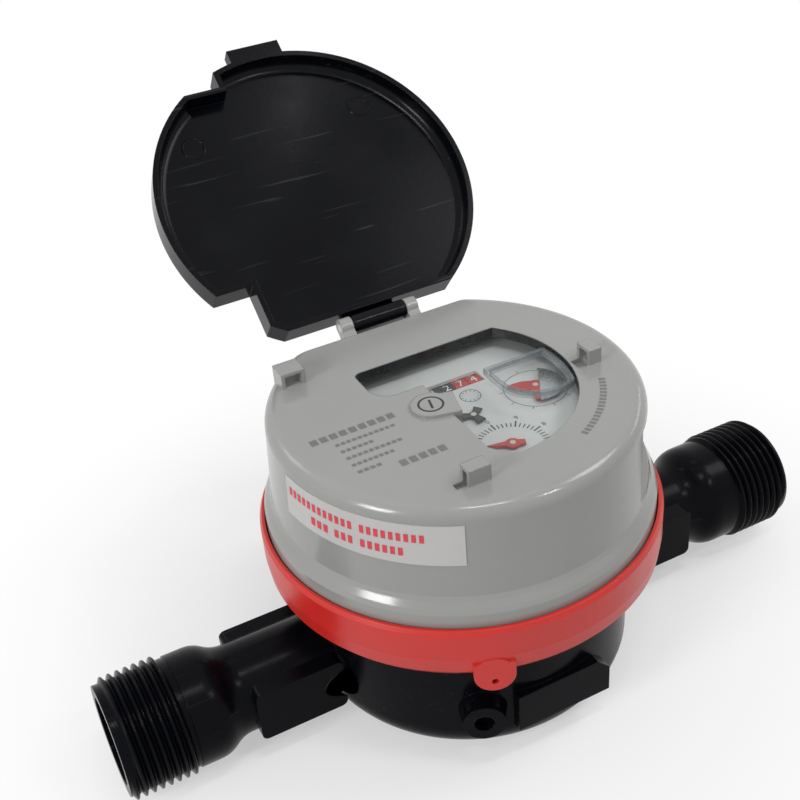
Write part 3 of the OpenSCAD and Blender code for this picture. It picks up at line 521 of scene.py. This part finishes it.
# Half of a thread ridge's section, root to crest: (share of the pitch from its middle, share of its height).
# The root dips a little into the pipe, so the ridge leaves no gap.
RIDGE = ((0.5, -0.04), (0.36, 0.16), (0.15, 0.86), (0.07, 1.0))
RIDGE_SECTION = [(-share, rise) for share, rise in RIDGE] + list(reversed(RIDGE))
THREAD_STEPS = 72
# Shares of a turn over which the ridge rises at its start and sinks at the pipe end.
RIDGE_RISE, RIDGE_SINK = 0.2, 0.12
# Place of the ridge's start after the thread's start, as a share of the pitch.
RIDGE_START = 0.2


class METER_OT_threads(bpy.types.Operator):
    """Wind the pipe threads round both arms"""
    bl_idname = "meter.threads"
    bl_label = "Pipe threads"

    def execute(self, context):
        t = context.scene.meter_thread
        low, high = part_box("body")
        axis_z = JOINT_AT["impeller_spin"].z
        steps = int(THREAD_STEPS * (t.run - t.lead) / t.pitch)
        for name, end, sign in (("thread_inlet", low[0], -1), ("thread_outlet", high[0], 1)):
            rings = []
            for i in range(steps + 1):
                turn = 2 * math.pi * i / THREAD_STEPS
                fade = min(1.0, i / (RIDGE_RISE * THREAD_STEPS), (steps - i) / (RIDGE_SINK * THREAD_STEPS))
                along = abs(end) - t.run + t.pitch * (i / THREAD_STEPS + RIDGE_START)
                ring = []
                for share, rise in RIDGE_SECTION:
                    r = t.root_r + (t.crest_r - t.root_r) * (rise * fade if rise > 0 else rise)
                    ring.append((sign * (along + share * t.pitch), r * math.cos(turn),
                                 axis_z + sign * r * math.sin(turn)))
                rings.append(ring)
            bm = bmesh.new()
            skin(bm, rings)
            bmesh.ops.recalc_face_normals(bm, faces=bm.faces)
            piece(name, bm, "meter", "body", smooth=True)
        return {"FINISHED"}


# Where the window's upright edge lies in the housing: farthest from the axis, lowest and highest.
WINDOW_REACH = 26.6 * MM
WINDOW_LOW = HOUSING_TOP - 2.6 * MM
WINDOW_HIGH = HOUSING_TOP + 0.1 * MM
# The dark sheet of painted shade stands off the edge by its film, and ends a little under the housing's top.
SHADE_FILM = 0.05 * MM
SHADE_TOP = HOUSING_TOP - 0.2 * MM


class METER_OT_window(bpy.types.Operator):
    """Line the window's edge with a dark sheet of painted shade"""
    bl_idname = "meter.window"
    bl_label = "Window edge shade"

    def execute(self, context):
        housing = frame["nodes"]["register_housing"].data
        upright = 0.1
        weld = 0.001 * MM
        bm = bmesh.new()
        for polygon in housing.polygons:
            points = [housing.vertices[i].co for i in polygon.vertices]
            inside = all(p.xy.length < WINDOW_REACH and WINDOW_LOW < p.z < WINDOW_HIGH for p in points)
            if inside and abs(polygon.normal.z) < upright:
                off = polygon.normal.xy * SHADE_FILM
                face(bm, [(p.x + off.x, p.y + off.y, min(p.z, SHADE_TOP)) for p in points])
        if not bm.faces:
            raise RuntimeError("no window edge found in register_housing")
        bmesh.ops.remove_doubles(bm, verts=bm.verts, dist=weld)
        # Painted shade: the dark sheet stands for the shade on the window's upright edge.
        piece("window_frame", bm, "meter", "window_shade")
        return {"FINISHED"}


# Litre scale: ticks round the dial, and how many of them make one number's step.
LITRE_TICKS, NUMBER_EVERY = 50, 5
# A numbered tick is longer than the others by this factor.
LONG_TICK = 1.5
TICK_WIDTH, LONG_TICK_WIDTH = 0.24 * MM, 0.34 * MM
NUMBER_GAP = 1.1 * MM
# Scale round the target pointer: radii of its ring and of its ticks.
TARGET_RING = (6.75 * MM, 6.9 * MM)
TARGET_TICKS = 10
TARGET_TICK = (7.0 * MM, 7.8 * MM)
TARGET_TICK_WIDTH = 0.16 * MM
# Small scale: its middle, and radii of its ring and of its ticks, which end at the ring.
SMALL_SCALE_AT = Vector((6.0, 3.8)) * MM
SMALL_RING = (2.2 * MM, 2.36 * MM)
SMALL_TICKS = 12
SMALL_TICK = (1.5 * MM, SMALL_RING[0])
SMALL_TICK_WIDTH = 0.12 * MM


class METER_OT_dial_print(bpy.types.Operator):
    """Print the scales and numbers on the dial plate"""
    bl_idname = "meter.dial_print"
    bl_label = "Dial print"

    def execute(self, context):
        p = context.scene.meter_print
        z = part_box("dial_plate")[1][2] + PRINT_LIFT
        bm = bmesh.new()

        litre = JOINT_AT["litre_spin"].xy
        for i, way in enumerate(ways_round(LITRE_TICKS)):
            numbered = i % NUMBER_EVERY == 0
            end = p.scale_r + p.tick * (LONG_TICK if numbered else 1.0)
            flat_bar(bm, litre + way * p.scale_r, litre + way * end,
                     LONG_TICK_WIDTH if numbered else TICK_WIDTH, z)
            if numbered:
                at = litre + way * (end + NUMBER_GAP)
                join_into(bm, numeral(str(i // NUMBER_EVERY), p.dial_digit_h),
                          lambda v, at=at: (v.x + at.x, v.y + at.y, z))

        target = JOINT_AT["target_spin"].xy
        flat_ring(bm, target, *TARGET_RING, z)
        ticks(bm, target, TARGET_TICKS, *TARGET_TICK, TARGET_TICK_WIDTH, z)

        flat_ring(bm, SMALL_SCALE_AT, *SMALL_RING, z)
        ticks(bm, SMALL_SCALE_AT, SMALL_TICKS, *SMALL_TICK, SMALL_TICK_WIDTH, z)
        piece("dial_print", bm, "meter", "print_black")
        return {"FINISHED"}


class METER_OT_drum_digits(bpy.types.Operator):
    """Wrap the digits round each number drum"""
    bl_idname = "meter.drum_digits"
    bl_label = "Drum digits"

    def execute(self, context):
        p = context.scene.meter_print
        shown = f"{p.reading:0{len(DRUMS)}d}"
        # The first drum carries the worm wheel on its right, so the width is taken from the second.
        low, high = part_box("drum_2")
        half_width = (high[0] - low[0]) / 2
        # Each digit is cut into slices, so that it bends round the drum.
        slices = 7
        for name, first in zip(DRUMS, reversed(shown)):
            at = JOINT_AT[name + "_spin"]
            low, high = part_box(name)
            r = (high[2] - low[2]) / 2 + PRINT_LIFT
            mid_x = low[0] + half_width
            bm = bmesh.new()
            for digit in range(10):
                number = numeral(str(digit), p.digit_h)
                for k in range(-(slices // 2), slices // 2 + 1):
                    bmesh.ops.bisect_plane(
                        number, geom=number.verts[:] + number.edges[:] + number.faces[:],
                        plane_co=(0, k * p.digit_h / slices, 0), plane_no=(0, 1, 0))
                start = 2 * math.pi * (int(first) - digit) / 10
                join_into(bm, number, lambda v, start=start: (
                    mid_x + v.x, at.y + r * math.sin(start + v.y / r), at.z + r * math.cos(start + v.y / r)))
            piece(name + "_digits", bm, name, "print_white")
        return {"FINISHED"}


# Rows of plain printed blocks on the housing's top: (left x, right x, y, height) in millimetres.
TOP_ROWS = (
    (-33, -14.5, -1.2, 1.9), (-29, -16, -4.4, 0.9), (-29, -22, -6.9, 0.9), (-29, -17, -9.4, 0.9),
    (-29, -20, -11.9, 0.9), (-29, -24, -14.4, 0.9), (-21, -11, -16.4, 2.0))
# A block's width, and the gap after it: (share of the row's height, millimetres added).
BLOCK_WIDTH, BLOCK_GAP = (0.62, 0.3), (0.2, 0.15)
# One curved row on the right: first and last turn, a block's and a gap's turn in degrees, and its two radii.
ARC_FROM, ARC_TO, ARC_BLOCK, ARC_GAP = -64, -26, 1.5, 0.8
ARC_RADII = (29.8 * MM, 31.2 * MM)
# The pad beside the window stands this far over the top, and is turned by this many degrees.
PAD_RISE = 0.7 * MM
PAD_TURN = -14
# The pad's mark is a ring with a bar across: its middle before the turn, and its sizes.
PAD_MARK_AT = Vector((-6.0, -4.6)) * MM
PAD_RING = (2.3 * MM, 2.75 * MM)
PAD_HALF_BAR = Vector((0, 1.6)) * MM
PAD_BAR_WIDTH = 0.5 * MM
# Rows on the sticker: first and last turn in degrees, lower and upper share of the sticker's height.
STICKER_ROWS = (
    (186, 211, 0.57, 0.77), (213.5, 232, 0.57, 0.77),
    (196, 202.5, 0.2, 0.4), (205, 211, 0.2, 0.4), (213.5, 226, 0.2, 0.4))
STICKER_BLOCK, STICKER_GAP = 1.25, 0.85
STICKER_THICK = 0.15 * MM
# The housing's wall tapers from its foot to its top: (height, radius).
WALL_FOOT = (49.5 * MM, 40.3 * MM)
WALL_TOP = (66.5 * MM, 39.4 * MM)


def sticker_r(z):
    """Radius of the print on the sticker at a height, which follows the wall's taper."""
    taper = (WALL_FOOT[1] - WALL_TOP[1]) / (WALL_TOP[0] - WALL_FOOT[0])
    # Each block is flat across the round sticker, so it stands three times as far off as other print.
    return WALL_FOOT[1] - (z - WALL_FOOT[0]) * taper + STICKER_THICK + 3 * PRINT_LIFT


class METER_OT_case_print(bpy.types.Operator):
    """Print plain blocks on the housing top and the sticker, and a mark on the pad"""
    bl_idname = "meter.case_print"
    bl_label = "Case print"

    def execute(self, context):
        top = HOUSING_TOP + PRINT_LIFT
        bm = bmesh.new()
        for x0, x1, y, h in TOP_ROWS:
            wide, gap = (share * h + more for share, more in (BLOCK_WIDTH, BLOCK_GAP))
            for b0, b1 in blocks(x0, x1, wide, gap):
                flat_bar(bm, Vector((b0, y)) * MM, Vector((b1, y)) * MM, h * MM, top)
        for b0, b1 in blocks(ARC_FROM, ARC_TO, ARC_BLOCK, ARC_GAP):
            flat_ring(bm, (0, 0), *ARC_RADII, top, steps=3,
                      start=math.radians(b0), sweep=math.radians(b1 - b0))
        piece("case_print", bm, "meter", "print_grey")

        turned = Matrix.Rotation(math.radians(PAD_TURN), 2)
        centre = turned @ PAD_MARK_AT
        half_bar = turned @ PAD_HALF_BAR
        bm = bmesh.new()
        flat_ring(bm, centre, *PAD_RING, top + PAD_RISE)
        flat_bar(bm, centre - half_bar, centre + half_bar, PAD_BAR_WIDTH, top + PAD_RISE)
        piece("pad_mark", bm, "meter", "print_black")

        low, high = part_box("sticker")
        bm = bmesh.new()
        for a0, a1, h0, h1 in STICKER_ROWS:
            z0, z1 = (low[2] + (high[2] - low[2]) * h for h in (h0, h1))
            for span in blocks(a0, a1, STICKER_BLOCK, STICKER_GAP):
                t0, t1 = (math.radians(b) for b in span)
                corners = ((t0, z0), (t1, z0), (t1, z1), (t0, z1))
                face(bm, [(sticker_r(z) * math.cos(t), sticker_r(z) * math.sin(t), z) for t, z in corners])
        piece("sticker_print", bm, "meter", "print_red")
        return {"FINISHED"}


# Places on the lid are given as it lies closed, from the hinge, with its plate's inner face at this height.
LID_PLATE_Z = 3.9 * MM
PIN_RINGS_AT = (Vector((-22.5, -54.6)) * MM, Vector((20.5, -54.6)) * MM)
PIN_RING_RISE = 0.25 * MM
# Section of a ring that an ejector pin leaves: (radius in millimetres, share of the rise).
PIN_RING_SECTION = ((2.9, 0.02), (2.75, -1.0), (2.45, -1.0), (2.3, 0.02))
PIN_RING_STEPS = 48
FILLET_R = 2.2 * MM
FILLET_STEPS = 6
# The fillet sinks this far into the plate and the rim, so that it leaves no gap.
FILLET_SINK = 0.02 * MM
# First and last turn of the fillet's two arcs, in degrees, which end at the lid's notch and near its hinge.
FILLET_ARCS = ((-106, 55), (152, 235))


class METER_OT_lid_marks(bpy.types.Operator):
    """Put the ejector-pin rings and the rim's fillet on the inside of the lid"""
    bl_idname = "meter.lid_marks"
    bl_label = "Lid marks"

    def execute(self, context):
        hinge = JOINT_AT["lid_hinge"]
        opened = Matrix.Translation(Vector((0, hinge.y, hinge.z))) @ Matrix.Rotation(
            math.radians(-LID_TURN), 4, "X")

        bm = bmesh.new()
        for at in PIN_RINGS_AT:
            rings = []
            for way in ways_round(PIN_RING_STEPS):
                ring = []
                for r, rise in PIN_RING_SECTION:
                    x, y = at + way * r * MM
                    ring.append(opened @ Vector((x, y, LID_PLATE_Z + PIN_RING_RISE * rise)))
                rings.append(ring)
            skin(bm, rings, closed=True)
        bmesh.ops.recalc_face_normals(bm, faces=bm.faces)
        piece("lid_pin_rings", bm, "lid", "lid", smooth=True)

        bm = bmesh.new()
        for first, last in FILLET_ARCS:
            steps = int((last - first) / 2)
            rings = []
            for i in range(steps + 1):
                way = aim(math.radians(first + (last - first) * i / steps))
                ring = []
                for k in range(FILLET_STEPS + 1):
                    bend = math.pi / 2 * k / FILLET_STEPS
                    r = LID_IN_R - FILLET_R * (1 - math.cos(bend)) + FILLET_SINK
                    z = LID_PLATE_Z - FILLET_R * (1 - math.sin(bend)) + FILLET_SINK
                    # The lid's middle lies on the meter's axis when it is closed.
                    ring.append(opened @ Vector((r * way.x, r * way.y - hinge.y, z)))
                rings.append(ring)
            skin(bm, rings)
        bmesh.ops.recalc_face_normals(bm, faces=bm.faces)
        piece("lid_fillet", bm, "lid", "lid", smooth=True)
        return {"FINISHED"}


# Stage

# Lamps: name, place, point aimed at, and (width, height), in metres.
LAMPS = (
    ("key", (-0.52, -0.16, 0.27), (0, 0, 0.05), (0.16, 0.16)),
    ("top", (0.4, -0.1, 0.52), (0, 0, 0.06), (0.2, 0.2)),
    ("spark", (0.21, -0.33, 0.49), (0, 0, 0.05), (0.06, 0.06)),
    ("strip", (0.0, -0.17, 0.6), (0, 0, 0.03), (0.16, 0.025)),
    ("streak", (0.55, 0.1, 0.27), (0, 0, 0.06), (0.3, 0.02)),
    ("sheen", (0.245, -0.08, 0.51), (0.02, 0.055, 0.085), (0.08, 0.08)),
    ("crest", (0.179, 0.027, 0.574), (0.008, 0.089, 0.108), (0.09, 0.012)),
    ("rim", (-0.32, 0.5, 0.5), (0, 0, 0.06), (0.2, 0.2)))
FLOOR_HALF = 3.0
FLOOR_DROP = 0.1 * MM
# Distances from the meter's axis between which the floor goes over to plain white.
FADE_FROM, FADE_TO = 50 * MM, 140 * MM
# Share of plain white under the meter, where the shadow is darkest.
FADE_LEAST = 0.45
# The photograph's view, fitted to the pipe, ring, housing and lid edges: place, and turns in degrees.
VIEW_AT = Vector((-99.22, -187.57, 211.50)) * MM
VIEW_TILT, VIEW_ROLL, VIEW_TURN = 55.797, 4.186, -27.711


def background_rays(tree):
    """1 for rays from the camera, from gloss and through glass, which see the white background."""
    path = add_node(tree, "ShaderNodeLightPath")
    total = path.outputs["Is Camera Ray"]
    for kind in ("Is Glossy Ray", "Is Transmission Ray"):
        total = add_node(
            tree, "ShaderNodeMath", links={0: total, 1: path.outputs[kind]}, operation="MAXIMUM").outputs[0]
    return total


def floor_material():
    """White paper, matt: it keeps the shadow near the meter and goes over to plain white further out."""
    mat, out = new_material("white_paper_matt")
    tree = mat.node_tree
    at = add_node(tree, "ShaderNodeTexCoord").outputs["Object"]
    far = add_node(tree, "ShaderNodeVectorMath", links={0: at}, operation="LENGTH")
    fade = add_node(
        tree, "ShaderNodeMapRange", {"From Min": FADE_FROM, "From Max": FADE_TO, "To Min": FADE_LEAST},
        {"Value": far.outputs["Value"]}, interpolation_type="SMOOTHSTEP")
    looked_at = background_rays(tree)
    seen = add_node(
        tree, "ShaderNodeMath", links={0: fade.outputs["Result"], 1: looked_at}, operation="MULTIPLY")
    # Pale to look at, darker to the light that bounces up, so the black underside stays black.
    pale = add_node(
        tree, "ShaderNodeMix", {MIX_A: opaque(linear("#CACACA")), MIX_B: opaque(linear("#F6F6F6"))},
        {MIX_FACTOR: looked_at}, data_type="RGBA")
    matt = add_node(tree, "ShaderNodeBsdfDiffuse", links={"Color": pale.outputs[MIX_OUT]})
    white = add_node(tree, "ShaderNodeEmission", {"Color": WHITE, "Strength": 1.0})
    mix = add_node(
        tree, "ShaderNodeMixShader", links={0: seen.outputs[0], 1: matt.outputs[0], 2: white.outputs[0]})
    tree.links.new(mix.outputs[0], out.inputs["Surface"])
    return mat


def studio_world(horizon, overhead):
    """A world that is white to look at, and lights more from overhead than from the horizon."""
    world = bpy.data.worlds.new("studio")
    world.use_nodes = True
    tree = world.node_tree
    tree.nodes.clear()
    way = add_node(tree, "ShaderNodeTexCoord").outputs["Generated"]
    height = add_node(tree, "ShaderNodeSeparateXYZ", links={0: way})
    glow = add_node(
        tree, "ShaderNodeMapRange", {"From Min": 0.0, "From Max": 1.0, "To Min": horizon, "To Max": overhead},
        {"Value": height.outputs["Z"]})
    strength = add_node(
        tree, "ShaderNodeMapRange", {"To Max": 1.0},
        {"Value": background_rays(tree), "To Min": glow.outputs["Result"]})
    sky = add_node(
        tree, "ShaderNodeBackground", {"Color": WHITE}, {"Strength": strength.outputs["Result"]})
    out = add_node(tree, "ShaderNodeOutputWorld")
    tree.links.new(sky.outputs[0], out.inputs["Surface"])
    return world


class METER_OT_stage(bpy.types.Operator):
    """Set the floor, lights, world and camera"""
    bl_idname = "meter.stage"
    bl_label = "Stage"

    def execute(self, context):
        scene = context.scene
        s = scene.meter_stage
        scene.view_settings.view_transform = "Standard"

        corners = [(x * FLOOR_HALF, y * FLOOR_HALF, 0) for x, y in ((-1, -1), (1, -1), (1, 1), (-1, 1))]
        floor_mesh = bpy.data.meshes.new("floor")
        floor_mesh.from_pydata(corners, [], [(0, 1, 2, 3)])
        floor_mesh.materials.append(floor_material())
        floor = bpy.data.objects.new("floor", floor_mesh)
        floor.location.z = -FLOOR_DROP
        scene.collection.objects.link(floor)

        scene.world = studio_world(s.horizon, s.overhead)

        for name, place, target, size in LAMPS:
            lamp = bpy.data.lights.new(name, "AREA")
            lamp.shape = "RECTANGLE"
            lamp.energy = getattr(s, name)
            lamp.size, lamp.size_y = size
            obj = bpy.data.objects.new(name, lamp)
            obj.location = place
            obj.rotation_euler = (Vector(target) - Vector(place)).to_track_quat("-Z", "Y").to_euler()
            scene.collection.objects.link(obj)

        camera = bpy.data.cameras.new("photo_view")
        camera.sensor_width = 36.0
        camera.lens = s.lens
        camera.clip_start = 10 * MM
        obj = bpy.data.objects.new("photo_view", camera)
        obj.location = VIEW_AT
        obj.rotation_euler = [math.radians(turn) for turn in (VIEW_TILT, VIEW_ROLL, VIEW_TURN)]
        scene.collection.objects.link(obj)
        scene.camera = obj
        return {"FINISHED"}


OPERATORS = (METER_OT_finishes, METER_OT_threads, METER_OT_window, METER_OT_dial_print, METER_OT_drum_digits,
             METER_OT_case_print, METER_OT_lid_marks, METER_OT_stage)


class METER_PT_panel(bpy.types.Panel):
    """Lists the meter's settings and operators."""
    bl_idname = "METER_PT_panel"
    bl_label = "Water meter"
    bl_space_type = "VIEW_3D"
    bl_region_type = "UI"
    bl_category = "Water meter"

    def draw(self, context):
        for key in GROUPS:
            group = getattr(context.scene, key)
            box = self.layout.box()
            for prop in group.bl_rna.properties:
                if prop.identifier not in {"rna_type", "name"}:
                    box.prop(group, prop.identifier)
        for operator in OPERATORS:
            self.layout.operator(operator.bl_idname)


CLASSES = tuple(GROUPS.values()) + OPERATORS + (METER_PT_panel,)


def register():
    """Registers the classes and the settings."""
    for cls in CLASSES:
        bpy.utils.register_class(cls)
    for key, group in GROUPS.items():
        setattr(bpy.types.Scene, key, bpy.props.PointerProperty(type=group))


def unregister():
    """Removes the settings and the classes."""
    for key in GROUPS:
        delattr(bpy.types.Scene, key)
    for cls in reversed(CLASSES):
        bpy.utils.unregister_class(cls)


def main():
    """Builds the meter's looks."""
    register()
    bpy.ops.meter.finishes()
    bpy.ops.meter.threads()
    bpy.ops.meter.window()
    bpy.ops.meter.dial_print()
    bpy.ops.meter.drum_digits()
    bpy.ops.meter.case_print()
    bpy.ops.meter.lid_marks()
    bpy.ops.meter.stage()


if __name__ == "__main__":
    main()
